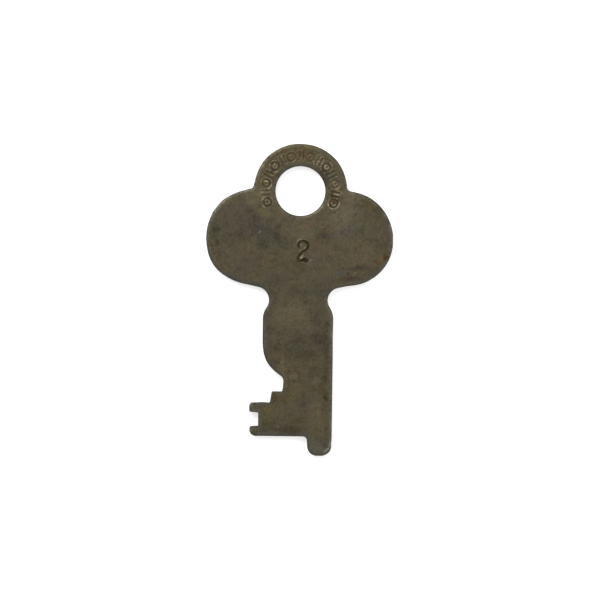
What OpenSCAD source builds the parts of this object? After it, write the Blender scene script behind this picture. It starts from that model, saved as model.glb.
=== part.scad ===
// Flat key for a small lever padlock, blanked and cut from one piece of brass sheet.
//
// The origin is the centre of the ring hole, on the back face. +Z points out of the
// struck face, +Y runs from the bit up to the bow, and the bit stands out towards -X.
// The straight back edge of the blade is the datum for every cut of the bit.

/* [Sheet] */
// Thickness of the brass sheet
sheet_t = 1.5; // [1:0.1:2.5]

/* [Bow] */
// Diameter of the hole for the key ring
hole_d = 6.6; // [6:0.1:7.2]
// Outside diameter of the eye round the hole
eye_d = 12.35; // [12:0.05:14]
// Rise of the eye's centre above the centre of the hole
eye_rise = 0.1; // [0:0.05:0.4]
// Diameter of each side lobe, over its top and its outer side
lobe_d = 12.6; // [11.6:0.1:14]
// Distance between the centres of the two side lobes
lobe_spread = 12.1; // [11.5:0.1:14]
// Sideways offset of the two lobes from the centre of the hole
lobe_shift = -0.05; // [-0.3:0.05:0.3]
// Drop from the centre of the hole to the centres of the lobes
lobe_drop = 6.2; // [5.4:0.1:7.4]
// How much tighter the radius is round a lobe's cheek, below and outside
cheek_tighten = 0.55; // [0.1:0.05:1.5]
// How far the cheek stands out past the lobe's own arc
cheek_bulge = 0.17; // [0.05:0.01:0.4]
// Direction of the cheek from the lobe's centre, below the horizontal
cheek_angle = 34; // [20:1:50]
// Fillet in the crotch between the eye and a lobe
crotch_r = 0.6; // [0.1:0.1:0.8]

/* [Neck] */
// Narrowest width, between the two neck radii
neck_w = 7.75; // [6.4:0.05:8.4]
// Radius of the cut-in on each side of the neck
neck_r = 1.75; // [1.2:0.05:2.4]
// Gap from a cheek to the neck radius, spanned by the straight underside of the bow
underside_gap = 0.45; // [0.1:0.05:0.8]

/* [Blade] */
// Drop from the centre of the hole to the tip of the post
tip_drop = 35.05; // [33:0.05:42]
// Width of the blade below its shoulders
blade_w = 9.3; // [8.6:0.1:10.6]
// Sideways offset of the blade from the centre of the hole
blade_shift = -0.1; // [-0.4:0.05:0.4]
// Radius of the two shoulders under the neck
shoulder_r = 2.4; // [1.4:0.1:3.2]
// Radius of the belly, where the blade's front edge turns in to the throat
belly_r = 4.7; // [2.5:0.1:4.9]
// Angle of the straight run from the belly to the throat, below the horizontal
belly_slope = 35; // [32:1:42]

/* [Bit] */
// Width from the back edge to the throat, the deepest cut
throat_w = 6.35; // [5.8:0.05:6.8]
// Height from the step up to the throat's corner
throat_h = 1.75; // [1.4:0.05:2.4]
// Radius in the corner of the throat
throat_r = 0.9; // [0.4:0.1:1.4]
// Width from the back edge to the step between the throat and the teeth
step_w = 8; // [7.5:0.1:8.6]
// Height of the step
step_h = 1.5; // [1:0.05:2]
// Lean of the throat's and the step's flanks from the upright
cut_lean = 9; // [0:1:12]
// Width from the back edge to the ends of the teeth
bit_w = 10.95; // [10.4:0.05:12]
// Height of each of the two teeth at the root
tooth_h = 1.3; // [0.9:0.05:1.8]
// Height of the ward slot at its root
slot_h = 1.8; // [1.2:0.1:2.4]
// Extra height of the ward slot at its mouth
slot_flare = 0.1; // [0:0.05:0.25]
// Depth of the ward slot from the ends of the teeth
slot_depth = 1.2; // [0.8:0.05:1.6]
// Radius of the bit's lower front corner
heel_r = 0.9; // [0.3:0.05:1.1]
// Radius of the upper tooth's top corner
tooth_r = 0.4; // [0.1:0.05:0.5]
// Radius on the bit's other corners, as a file or cutter leaves them
nick_r = 0.15; // [0.05:0.05:0.3]

/* [Post] */
// Width of the post where it stands out past the bit
post_w = 3.3; // [3:0.1:3.6]
// Lean of the post's front flank, which narrows it towards its tip
post_lean = 4; // [0:1:6]
// Length of the post past the bit
post_len = 2.55; // [2.4:0.05:3.6]
// Radius of the post's tip corner on the back edge
post_tip_r = 1.4; // [0.8:0.05:1.45]
// Radius of the post's other tip corner
post_toe_r = 1.25; // [0.8:0.05:1.45]
// Fillet between the post and the bit
post_root_r = 0.55; // [0.3:0.05:0.9]

/* [Struck figure] */
// Height of the struck figure
figure_h = 2.85; // [2.2:0.05:3.6]
// Width of the struck figure
figure_w = 1.5; // [1.2:0.05:1.7]
// Width of the figure's stroke
figure_stroke = 0.3; // [0.2:0.02:0.4]
// Radius at which the figure's stem turns down to its foot
figure_turn_r = 0.8; // [0.3:0.05:1]
// Depth of the figure
figure_depth = 0.2; // [0.1:0.05:0.4]
// Drop from the centre of the hole to the middle of the figure
figure_drop = 7.9; // [7:0.05:10]
// Sideways offset of the figure from the centre of the hole
figure_shift = 0.4; // [-1:0.1:1]

/* [Struck border] */
// Number of rings in the border round the eye
ring_count = 8; // [4:1:8]
// Angle round the eye from the first ring to the last
border_sweep = 220; // [200:5:230]
// Distance from the edge of the hole to the border
border_inset = 0.75; // [0.6:0.05:0.85]
// Distance from the border to the outer edge of the eye
border_rim = 0.9; // [0.6:0.05:0.95]
// Distance between the two bars of a pair, centre to centre
bar_gap = 0.56; // [0.44:0.02:0.6]
// Width of the border's lines
line_w = 0.2; // [0.14:0.02:0.24]
// Depth of the border
border_depth = 0.12; // [0.05:0.01:0.3]

/* [Hidden] */
$fn = 96;

// Patinated brass
brass = "#5c5342";

// How far a cut runs out of a face, so that it leaves no skin
clear = 0.5;

// How far an arc reaches past the line or the arc that it runs into, so that they cross
lap = 0.0005;

// Share of its radius by which the wedge at a rounded corner runs past the corner
wedge_past = 0.2;

eye_r = eye_d / 2;
lobe_r = lobe_d / 2;
cheek_r = lobe_r - cheek_tighten;
eye_centre = [0, eye_rise];
blade_front = blade_shift - blade_w / 2;
blade_back = blade_shift + blade_w / 2;

tip_y = -tip_drop;
bit_y = tip_y + post_len;
slot_y = bit_y + tooth_h;
slot_top_y = slot_y + slot_h;
teeth_top_y = slot_top_y + tooth_h;
step_top_y = teeth_top_y + step_h;
throat_y = step_top_y + throat_h;

post_x = blade_back - post_w;
teeth_x = blade_back - bit_w;
slot_x = teeth_x + slot_depth;
throat_x = blade_back - throat_w;
step_x = blade_back - step_w;
belly_y = throat_y + (throat_x - blade_front) * tan(belly_slope);

// The larger fillets, each limited by the walls that it joins
belly_turn = 90 - belly_slope;
belly_room = (throat_x - blade_front) / cos(belly_slope)
    - throat_r * tan((belly_turn + cut_lean) / 2);
belly_fillet = min(belly_r, belly_room / tan(belly_turn / 2));
heel_fillet = min(heel_r, tooth_h - nick_r);
tooth_fillet = min(tooth_r, tooth_h - slot_flare - nick_r);
post_tip_fillet = min(post_tip_r, post_w / 2 - nick_r / 2);
post_toe_fillet = min(post_toe_r, post_w / 2 - nick_r / 2);
post_root_fillet = min(post_root_r, post_len - post_toe_fillet);

figure_centre = [figure_shift, -figure_drop];
bar_len = eye_r - hole_d / 2 - border_inset - border_rim;
border_r = hole_d / 2 + border_inset + bar_len / 2;
ring_pitch = border_sweep / (ring_count - 1);
first_ring = 90 - border_sweep / 2;

// Unit vector from one point towards another
function toward(a, b) = (b - a) / norm(b - a);

// A vector turned a quarter turn to the left
function left_of(v) = [-v.y, v.x];

// The point where two circles cross, on the left of the way from the first to the second
function crossing(a, ra, b, rb) =
    let (
        d = norm(b - a),
        along = (d * d + ra * ra - rb * rb) / (2 * d),
        aside = sqrt(ra * ra - along * along)
    )
    a + along * toward(a, b) + aside * left_of(toward(a, b));

// Unit vector square to a line that touches two circles, pointing out of the first one. A
// negative second radius makes the line cross over, with the second circle on its far side
function touching(a, ra, b, rb, side) =
    let (along = (ra - rb) / norm(b - a))
    along * toward(a, b) + side * sqrt(1 - along * along) * left_of(toward(a, b));

// The centre of a circle that meets another one, standing at the given x and below it
function hung_at(x, above, reach) =
    [x, above.y - sqrt(reach * reach - (x - above.x) * (x - above.x))];

// Centres of the arcs on one side of the key: side is -1 towards the bit, 1 towards the back
function lobe_centre(side) = [lobe_shift + side * lobe_spread / 2, -lobe_drop];

function cheek_centre(side) =
    lobe_centre(side)
    + (cheek_tighten + cheek_bulge) * [side * cos(cheek_angle), -sin(cheek_angle)];

function neck_centre(side) = hung_at(
    blade_shift + side * (neck_w / 2 + neck_r),
    cheek_centre(side),
    cheek_r + neck_r + underside_gap
);

function shoulder_centre(side) = hung_at(
    blade_shift + side * (blade_w / 2 - shoulder_r + lap),
    neck_centre(side),
    neck_r + shoulder_r - lap
);

// An outline given the thickness of the sheet
module plate() {
    linear_extrude(sheet_t) children();
}

// An outline cut right through the sheet
module cut_through() {
    translate([0, 0, -clear])
        linear_extrude(sheet_t + 2 * clear) children();
}

// What lies between the corner of an outline and the arc that rounds it, as an outline
module corner_wedge(before, corner, after, r) {
    u = toward(corner, before);
    v = toward(corner, after);
    inward = toward([0, 0], u + v);
    half = acos(u * v) / 2;
    run = r / tan(half);
    centre = corner + inward * (r - lap) / sin(half);
    difference() {
        polygon([corner + u * run, corner - inward * r * wedge_past, corner + v * run, centre]);
        translate(centre) circle(r);
    }
}

// A plate whose outline is listed counter-clockwise as [corner, radius], its corners rounded
module rounded_plate(corners) {
    n = len(corners);
    points = [for (c = corners) c[0]];
    function before(i) = points[(i + n - 1) % n];
    function after(i) = points[(i + 1) % n];
    function convex(i) = left_of(points[i] - before(i)) * (after(i) - points[i]) > 0;
    rounded = [for (i = [0 : n - 1]) if (corners[i][1] > 0) i];
    difference() {
        union() {
            plate() polygon(points);
            for (i = rounded)
                if (!convex(i))
                    plate() corner_wedge(before(i), points[i], after(i), corners[i][1]);
        }
        for (i = rounded)
            if (convex(i))
                cut_through() corner_wedge(before(i), points[i], after(i), corners[i][1]);
    }
}

// The fillet between the eye and one lobe
module crotch(side) {
    lobe = lobe_centre(side);
    from_lobe = lobe_r + crotch_r - lap;
    from_eye = eye_r + crotch_r - lap;
    centre = side < 0
        ? crossing(lobe, from_lobe, eye_centre, from_eye)
        : crossing(eye_centre, from_eye, lobe, from_lobe);
    plate() difference() {
        polygon([eye_centre, centre, lobe]);
        translate(centre) circle(crotch_r);
    }
}

// One side lobe: its two arcs and the short straight that joins them on the outer side
module lobe(side) {
    top = lobe_centre(side);
    cheek = cheek_centre(side);
    square_off = touching(top, lobe_r - lap, cheek, cheek_r - lap, side);
    plate() translate(top) circle(lobe_r);
    plate() translate(cheek) circle(cheek_r);
    plate() polygon([
        top,
        top + (lobe_r - lap) * square_off,
        cheek + (cheek_r - lap) * square_off,
        cheek,
    ]);
}

// The three-lobed bow
module bow() {
    plate() translate(eye_centre) circle(eye_r);
    for (side = [-1, 1]) {
        lobe(side);
        crotch(side);
    }
}

// The neck, from the bow's underside down to the shoulders
module neck() {
    function half_outline(side) =
        let (
            cheek = cheek_centre(side),
            notch = neck_centre(side),
            square_off = touching(cheek, cheek_r - lap, notch, lap - neck_r, side)
        )
        [
            lobe_centre(side),
            cheek,
            cheek + (cheek_r - lap) * square_off,
            notch - (neck_r - lap) * square_off,
            notch,
            shoulder_centre(side),
            shoulder_centre(side) - [0, shoulder_r],
        ];
    back_half = half_outline(1);
    difference() {
        plate() polygon(concat(
            [eye_centre],
            half_outline(-1),
            [for (i = [len(back_half) - 1 : -1 : 0]) back_half[i]]
        ));
        for (side = [-1, 1])
            cut_through() translate(neck_centre(side)) circle(neck_r);
    }
    for (side = [-1, 1])
        plate() translate(shoulder_centre(side)) circle(shoulder_r);
}

// The blade with its belly, throat, step, teeth and post
module blade() {
    lean = tan(cut_lean);
    rounded_plate([
        [[blade_front, shoulder_centre(-1).y], 0],
        [[blade_front, belly_y], belly_fillet],
        [[throat_x, throat_y], throat_r],
        [[throat_x - throat_h * lean, step_top_y], nick_r],
        [[step_x, step_top_y], nick_r],
        [[step_x - step_h * lean, teeth_top_y], nick_r],
        [[teeth_x, teeth_top_y], tooth_fillet],
        [[teeth_x, slot_top_y + slot_flare], nick_r],
        [[slot_x, slot_top_y], nick_r],
        [[slot_x, slot_y], nick_r],
        [[teeth_x, slot_y], nick_r],
        [[teeth_x, bit_y], heel_fillet],
        [[post_x, bit_y], post_root_fillet],
        [[post_x + post_len * tan(post_lean), tip_y], post_toe_fillet],
        [[blade_back, tip_y], post_tip_fillet],
        [[blade_back, shoulder_centre(1).y], 0],
    ]);
}

// A straight stroke with round ends, as an outline
module stroke(a, b, w) {
    aside = left_of(toward(a, b)) * (w / 2 - lap);
    polygon([a - aside, b - aside, b + aside, a + aside]);
    for (end = [a, b])
        translate(end) circle(w / 2);
}

// A curved stroke about a centre, over less than half a turn from one angle to another
module bend(centre, r, from, to, w) {
    far = r + w;
    middle = (from + to) / 2;
    reach = far / cos((to - from) / 4);
    intersection() {
        difference() {
            translate(centre) circle(r + w / 2 - lap);
            translate(centre) circle(r - w / 2 + lap);
        }
        polygon([
            centre,
            centre + reach * [cos(from), sin(from)],
            centre + reach * [cos(middle), sin(middle)],
            centre + reach * [cos(to), sin(to)],
        ]);
    }
}

// The struck figure 2, as an outline: a hook, a slanting stem that turns down, and a foot
module figure_plan() {
    half_stroke = figure_stroke / 2;
    hook_r = figure_w / 2 - half_stroke;
    hook = [0, figure_h / 2 - half_stroke - hook_r];
    foot_y = half_stroke - figure_h / 2;
    turn_r = min(figure_turn_r, pow(hook.y - foot_y, 2) / (4 * hook_r));
    turn = [turn_r - hook_r, foot_y];
    slant = acos(min(1, (hook_r + turn_r) / norm(turn - hook)));
    lean = atan2(turn.y - hook.y, turn.x - hook.x) + slant;
    stem = [cos(lean), sin(lean)];
    bend(hook, hook_r, 90, 180, figure_stroke);
    bend(hook, hook_r, lean, 90, figure_stroke);
    translate(hook - [hook_r, 0]) circle(half_stroke);
    stroke(hook + hook_r * stem, turn - turn_r * stem, figure_stroke);
    bend(turn, turn_r, 180 + lean, 180, figure_stroke);
    stroke([-hook_r, foot_y], [hook_r, foot_y], figure_stroke);
}

// The border of rings and paired bars struck round the eye, as an outline
module border_plan() {
    for (i = [0 : ring_count - 1]) {
        rotate(first_ring + i * ring_pitch)
            translate([border_r, 0])
                difference() {
                    circle(bar_len / 2);
                    circle(bar_len / 2 - line_w);
                }
        if (i < ring_count - 1)
            rotate(first_ring + (i + 0.5) * ring_pitch)
                for (side = [-1, 1])
                    translate([border_r - bar_len / 2, side * bar_gap / 2 - line_w / 2])
                        square([bar_len, line_w]);
    }
}

// A mark of the given depth, sunk into the struck face
module struck(depth) {
    translate([0, 0, sheet_t - depth])
        linear_extrude(depth + clear) children();
}

// The whole key: one piece of sheet
module flat_key() {
    color(brass) difference() {
        union() {
            bow();
            neck();
            blade();
        }
        translate([0, 0, -clear]) cylinder(d = hole_d, h = sheet_t + 2 * clear);
        struck(figure_depth) translate(figure_centre) figure_plan();
        struck(border_depth) border_plan();
    }
}

flat_key();
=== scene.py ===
"""Dresses the flat padlock key: a blanked brass plate with rolled edges, struck marks and patina.

All shaping is done in millimetres, and the finished piece is brought down to metres at the end.
"""

import logging
import math
import random
from collections.abc import Iterator
from contextlib import contextmanager
from dataclasses import dataclass, field, replace
from enum import Enum

import bpy
import numpy as np
from bpy.types import Material, Mesh, Node, NodeOutputs, NodeTree, Object, World
from bpy.types import NodeSocket as Socket
from bpy.types import bpy_prop_collection as Items
from mathutils import Matrix, Vector, noise
from mathutils.kdtree import KDTree


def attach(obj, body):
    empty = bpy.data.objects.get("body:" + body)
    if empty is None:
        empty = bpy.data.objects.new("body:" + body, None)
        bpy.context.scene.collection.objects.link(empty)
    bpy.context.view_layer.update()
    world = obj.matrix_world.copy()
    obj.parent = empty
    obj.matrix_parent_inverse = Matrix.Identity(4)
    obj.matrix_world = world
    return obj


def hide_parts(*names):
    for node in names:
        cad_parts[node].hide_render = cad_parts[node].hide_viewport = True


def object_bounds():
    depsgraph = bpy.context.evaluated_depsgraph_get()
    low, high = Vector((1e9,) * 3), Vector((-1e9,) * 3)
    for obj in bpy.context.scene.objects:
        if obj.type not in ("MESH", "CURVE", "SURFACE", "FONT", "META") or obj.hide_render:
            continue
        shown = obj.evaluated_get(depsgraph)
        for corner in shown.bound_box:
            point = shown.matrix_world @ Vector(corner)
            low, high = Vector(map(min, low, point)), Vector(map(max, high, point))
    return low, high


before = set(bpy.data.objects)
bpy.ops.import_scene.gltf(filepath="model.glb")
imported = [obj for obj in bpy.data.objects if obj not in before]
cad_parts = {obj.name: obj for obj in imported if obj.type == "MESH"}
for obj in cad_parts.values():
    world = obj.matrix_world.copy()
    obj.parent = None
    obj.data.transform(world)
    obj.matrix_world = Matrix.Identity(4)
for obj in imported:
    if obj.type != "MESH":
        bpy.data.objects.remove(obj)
CAD_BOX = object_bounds()

LOG = logging.getLogger("key")
NODE = "flat_key"
BODY = "root"
MM = 0.001
TOUCH = 0.001  # millimetres within which two heights are the same

Array = np.ndarray
Pair = tuple[float, float]
Triple = tuple[float, float, float]
Value = Socket | float | tuple[float, ...]


class Face(Enum):
    """The two broad faces of the key, by the height of each in the frame."""

    STRUCK = 1.5
    BACK = 0.0


class Cut(Enum):
    """How a stretch of the key's edge was made, with the width and the drop of its rolled rim."""

    BLANKED = (0.46, 0.2)
    TOOTH_END = (0.2, 0.1)
    FILED = (0.08, 0.045)


class Kind(Enum):
    """What selecting works on in edit mode."""

    VERTICES = "VERT"
    EDGES = "EDGE"
    FACES = "FACE"


# Small steps of work on a mesh


def put_down() -> None:
    """Deselects every object."""
    for obj in bpy.context.selected_objects:
        obj.select_set(False)


@contextmanager
def editing(obj: Object, kind: Kind) -> Iterator[None]:
    """Opens an object alone in edit mode, for the steps inside.

    Args:
        obj: the object to work on.
        kind: what selecting works on.

    Returns:
        The context; at its end the object is back in object mode.
    """
    put_down()
    bpy.context.view_layer.objects.active = obj
    obj.select_set(True)
    bpy.ops.object.mode_set(mode="EDIT")
    bpy.ops.mesh.select_mode(type=kind.value)
    yield
    bpy.ops.object.mode_set(mode="OBJECT")


def select_open(wire: bool) -> None:
    """Selects the open edges of the mesh in edit mode.

    Args:
        wire: whether edges without a face count as open.
    """
    bpy.ops.mesh.select_non_manifold(
        extend=False,
        use_wire=wire,
        use_boundary=True,
        use_multi_face=False,
        use_non_contiguous=False,
        use_verts=False,
    )


def column(items: Items, name: str, kind: type, width: int = 1) -> Array:
    """Reads one property of all the items of a mesh.

    Args:
        items: the vertices, the edges or an attribute's data.
        name: the property.
        kind: the type of its numbers.
        width: how many numbers each item has.

    Returns:
        The numbers, one row for each item.
    """
    flat = np.empty(len(items) * width, kind)
    items.foreach_get(name, flat)
    return flat.reshape(-1, width) if width > 1 else flat


def places(mesh: Mesh) -> Array:
    """Reads the three coordinates of each vertex."""
    return column(mesh.vertices, "co", float, 3)


def put(mesh: Mesh, rows: Array) -> None:
    """Writes the three coordinates of each vertex."""
    mesh.vertices.foreach_set("co", rows.ravel())
    mesh.update()


def pick(mesh: Mesh, chosen: Array) -> None:
    """Selects vertices in object mode, and the edges and faces that lie wholly among them.

    Args:
        mesh: the mesh to select in.
        chosen: one truth value for each vertex.
    """
    ends = column(mesh.edges, "vertices", int, 2)
    faces = [bool(chosen[list(polygon.vertices)].all()) for polygon in mesh.polygons]
    mesh.vertices.foreach_set("select", chosen)
    mesh.edges.foreach_set("select", chosen[ends].all(axis=1))
    mesh.polygons.foreach_set("select", faces)


def falloff(distance: Array, reach: float) -> Array:
    """A bell over a distance, 1 at its middle and about a third at its reach."""
    return np.exp(-((distance / reach) ** 2))


def rise(values: Array, start: float, run: float) -> Array:
    """A straight rise from 0 to 1, from a start and over a run."""
    return np.clip((values - start) / run, 0, 1)


@dataclass(frozen=True)
class Wave:
    """Smooth noise over the plan: its height, the rough step between swells, and its field."""

    height: float
    size: float
    seed: float

    def over(self, rows: Array) -> Array:
        """The noise at each place, from about minus the height to the height."""
        spots = rows[:, :2] / self.size
        return self.height * np.array([noise.noise((x, y, self.seed)) for x, y in spots])


class Plan:
    """Places in plan, of which it finds the nearest."""

    def __init__(self, rows: Array) -> None:
        """Sets the places out in a tree.

        Args:
            rows: places in millimetres, of which the first two coordinates are used.
        """
        self.tree = KDTree(len(rows))
        for i, (x, y) in enumerate(rows[:, :2]):
            self.tree.insert((x, y, 0), i)
        self.tree.balance()

    def nearest(self, rows: Array) -> tuple[Array, Array]:
        """Finds the nearest kept place to each given one, as its distance and its number."""
        found = [self.tree.find((x, y, 0)) for x, y in rows[:, :2]]
        return np.array([f[2] for f in found]), np.array([f[1] for f in found])


# The outline


@dataclass(frozen=True)
class Swell:
    """A small fullness or hollow of the real key's outline, against its drawn arcs."""

    centre: Pair
    push: float
    reach: float


@dataclass
class Outline:
    """The key's outline and its ring hole as stations at even steps, with the rim at each one."""

    step: float = 0.1
    smoothing: float = 0.04
    spread: float = 0.016
    swells: tuple[Swell, ...] = (
        Swell((0.6, 6.2), -0.04, 1.3),
        Swell((-4.5, 4.3), 0.04, 1.3),
        Swell((4.8, 4), 0.04, 1.3),
        Swell((-6, 1.7), -0.03, 0.9),
        Swell((-6.6, 0.1), 0.13, 0.7),
        Swell((-7.9, -0.2), 0.04, 0.6),
        Swell((7.5, -0.1), -0.05, 1.3),
        Swell((-10.1, -1.3), 0.09, 1.3),
        Swell((-11.5, -2.9), 0.05, 0.6),
        Swell((12.3, -5.6), 0.04, 1.3),
        Swell((-12.4, -7.5), -0.08, 1.3),
        Swell((-9.6, -11.6), -0.06, 1.3),
        Swell((8.2, -12.1), 0.07, 1.3),
        Swell((4, -15.4), 0.04, 0.6),
        Swell((4.5, -19.3), -0.03, 1.3),
        Swell((-4.7, -21), -0.03, 0.9),
        Swell((-4, -22.9), 0.02, 0.9),
        Swell((-3.2, -23.9), -0.03, 0.9),
        Swell((-1.9, -25.3), 0.05, 0.4),
        Swell((-4.7, -28.1), 0.06, 0.6),
        Swell((-6.4, -31.4), -0.09, 0.4),
        Swell((4.5, -33.6), -0.05, 0.6),
        Swell((2.1, -35.05), -0.02, 0.45),
        Swell((3.9, -35.05), -0.04, 0.45),
    )
    bit_right: float = -1.2
    bit_rows: Pair = (-31.8, -24.6)
    teeth_left: float = -6.1
    rim_slope: float = 0.004
    rim_rounds: int = 12
    wander: Wave = Wave(0.16, 2.3, 4.0)
    lee_side: Pair = (0.7, -0.71)
    light_rounds: int = 30
    lit_foot: float = -16
    points: Array = field(init=False)
    normals: Array = field(init=False)
    following: Array = field(init=False)
    preceding: Array = field(init=False)
    roll_width: Array = field(init=False)
    roll_drop: Array = field(init=False)
    lee: Array = field(init=False)
    lit: Array = field(init=False)

    def read(self, obj: Object) -> None:
        """Takes the outline from the back face of a copy of the CAD node, which it strips down.

        Args:
            obj: the copy, in millimetres; nothing but its open edges is left of it.
        """
        self._strip(obj)
        loops = [self._even(loop) for loop in self._loops(obj.data)]
        loops.sort(key=lambda loop: -abs(self._area(loop)))
        loops = [
            loop if (self._area(loop) > 0) == (i == 0) else loop[::-1]
            for i, loop in enumerate(loops)
        ]
        self.points = np.vstack(loops)
        starts = np.cumsum([0] + [len(loop) for loop in loops])
        self.following = np.concatenate(
            [np.roll(np.arange(a, b), -1) for a, b in zip(starts, starts[1:])]
        )
        self.preceding = np.argsort(self.following)
        self._find_normals()
        outer = len(loops[0])
        self.points[:outer] += self.normals[:outer] * self.spread
        for swell in self.swells:
            away = np.linalg.norm(self.points - swell.centre, axis=1)
            self.points += self.normals * (swell.push * falloff(away, swell.reach))[:, None]
        self._find_normals()
        self._set_rims()
        self._set_light(outer)

    @staticmethod
    def _strip(obj: Object) -> None:
        """Merges the copy and deletes all of it but the open edges of the back face.

        Args:
            obj: the copy of the CAD node.
        """
        with editing(obj, Kind.FACES):
            bpy.ops.mesh.select_all(action="SELECT")
            bpy.ops.mesh.remove_doubles(threshold=TOUCH / 10)
            bpy.ops.mesh.select_all(action="DESELECT")
        for polygon in obj.data.polygons:
            polygon.select = polygon.normal.z > -0.9 or abs(polygon.center.z) > TOUCH
        with editing(obj, Kind.FACES):
            bpy.ops.mesh.delete(type="FACE")
        with editing(obj, Kind.EDGES):
            select_open(wire=False)
            bpy.ops.mesh.select_all(action="INVERT")
            bpy.ops.mesh.delete(type="EDGE")

    @staticmethod
    def _loops(mesh: Mesh) -> list[Array]:
        """Walks round the loose edges of a mesh.

        Args:
            mesh: a mesh of closed loops of edges.

        Returns:
            The plan of each loop, its places in order.
        """
        beside: dict[int, list[int]] = {}
        for a, b in (edge.vertices for edge in mesh.edges):
            beside.setdefault(a, []).append(b)
            beside.setdefault(b, []).append(a)
        rows, loops = places(mesh), []
        while beside:
            loop = [next(iter(beside))]
            while loop[-1] in beside:
                loop += [v for v in beside.pop(loop[-1]) if v in beside][:1]
            loops.append(rows[loop, :2])
        return loops

    def _even(self, loop: Array) -> Array:
        """Sets a loop out again in even steps, and rounds the chords of its arcs.

        Args:
            loop: the places of a closed loop.

        Returns:
            The places of the same loop, about one step apart.
        """
        closed = np.vstack([loop, loop[:1]])
        along = np.r_[0, np.cumsum(np.linalg.norm(np.diff(closed, axis=0), axis=1))]
        count = round(along[-1] / self.step)
        at = np.arange(count) * along[-1] / count
        even = np.stack([np.interp(at, along, closed[:, i]) for i in (0, 1)], axis=1)
        span = np.fft.fftfreq(count, along[-1] / count)
        soft = np.exp(-2 * (math.pi * span * self.smoothing) ** 2)
        keep = soft * (2 - soft)
        return np.real(np.fft.ifft(np.fft.fft(even, axis=0) * keep[:, None], axis=0))

    @staticmethod
    def _area(loop: Array) -> float:
        """The area inside a loop, negative where it runs clockwise."""
        x, y = loop.T
        return float(np.sum(x * np.roll(y, -1) - np.roll(x, -1) * y) / 2)

    def _smooth(self, values: Array, rounds: int) -> Array:
        """Evens out values along the edge.

        Args:
            values: one value for each station.
            rounds: how often each is blended with its two neighbours.

        Returns:
            The smooth values.
        """
        for _ in range(rounds):
            values = (values[self.preceding] + 2 * values + values[self.following]) / 4
        return values

    def _find_normals(self) -> None:
        """Finds the direction out of the metal at each station."""
        run = self.points[self.following] - self.points[self.preceding]
        run /= np.linalg.norm(run, axis=1)[:, None]
        self.normals = np.stack([run[:, 1], -run[:, 0]], axis=1)

    def _set_rims(self) -> None:
        """Gives each station the rolled rim of the cut that made it, blended along the edge."""
        x, y = self.points.T
        foot, head = self.bit_rows
        bit = (x < self.bit_right) & (y < head) & (y > foot)
        rims = np.full((len(x), 2), Cut.BLANKED.value)
        rims[bit] = Cut.FILED.value
        rims[bit & (x < self.teeth_left)] = Cut.TOOTH_END.value
        width, drop = rims.T
        for _ in range(self.rim_rounds):
            beside = (width[self.preceding] + width[self.following]) / 2
            width = np.minimum(width, beside + self.rim_slope)
        drop = self._smooth(drop, self.rim_rounds)
        wander = 1 + self.wander.over(self.points)
        self.roll_width = width * wander
        self.roll_drop = np.minimum(drop, width) * wander

    def _set_light(self, outer: int) -> None:
        """Finds which stations face away from the light, and which of the outer ones face it.

        Args:
            outer: how many stations the outer outline has; the ring hole's follow them.
        """
        facing = self.normals @ self.lee_side
        bright = np.clip(-facing, 0, 1) * (self.points[:, 1] > self.lit_foot)
        self.lee = self._smooth(np.clip(facing, 0, 1), self.light_rounds)
        self.lit = self._smooth(bright, self.light_rounds)
        self.lit[outer:] = 0

    def rim(self, share: float, top: float) -> Array:
        """The places of one line along the rolled rim.

        Args:
            share: 0 at the wall, 1 at the flat of the face.
            top: the height of the flat.

        Returns:
            One row of three coordinates for each station.
        """
        turn = (1 - share) * math.pi / 2
        inward = self.roll_width * (1 - math.sin(turn))
        height = top - self.roll_drop * (1 - math.cos(turn))
        return np.column_stack([self.points - self.normals * inward[:, None], height])

    def nearest(self, rows: Array) -> tuple[Array, Array]:
        """Finds how deep in the metal each place is, seen from above.

        Args:
            rows: places in millimetres.

        Returns:
            The distance to the edge, negative outside the metal, and the nearest station.
        """
        near = Plan(self.points).nearest(rows)[1]
        away = rows[:, :2] - self.points[near]
        return -np.sum(away * self.normals[near], axis=1), near


# The struck marks


@dataclass(frozen=True)
class Stroke:
    """One line of a punch: its path in plan, its size, and how the dirt and the wear took it."""

    path: tuple[Pair, ...]
    width: float
    depth: float
    dirt: float = 1.0
    dirt_width: float = 0.26
    rub: float = 0.0
    growth: float = 1.0
    closed: bool = False

    def beads(self, gap: float = 0.02) -> Array:
        """Sets out close points along the path, which is smooth through its corners.

        Args:
            gap: rough distance between two points.

        Returns:
            One row for each point: its plan coordinates and the stroke's size there.
        """
        knots = list(np.array(self.path))
        if self.closed:
            full = [knots[-1], *knots, knots[0], knots[1]]
        else:
            full = [knots[0], *knots, knots[-1]]
        beads = []
        for a, b, c, d in zip(full, full[1:], full[2:], full[3:]):
            t = np.linspace(0, 1, max(2, int(np.linalg.norm(c - b) / gap)))[:, None]
            bend = (2 * a - 5 * b + 4 * c - d) * t**2
            beads.append(0.5 * (2 * b + (c - a) * t + bend + (3 * b - a - 3 * c + d) * t**3))
        plan = np.vstack(beads)
        return np.column_stack([plan, np.linspace(1, self.growth, len(plan))])


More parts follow.
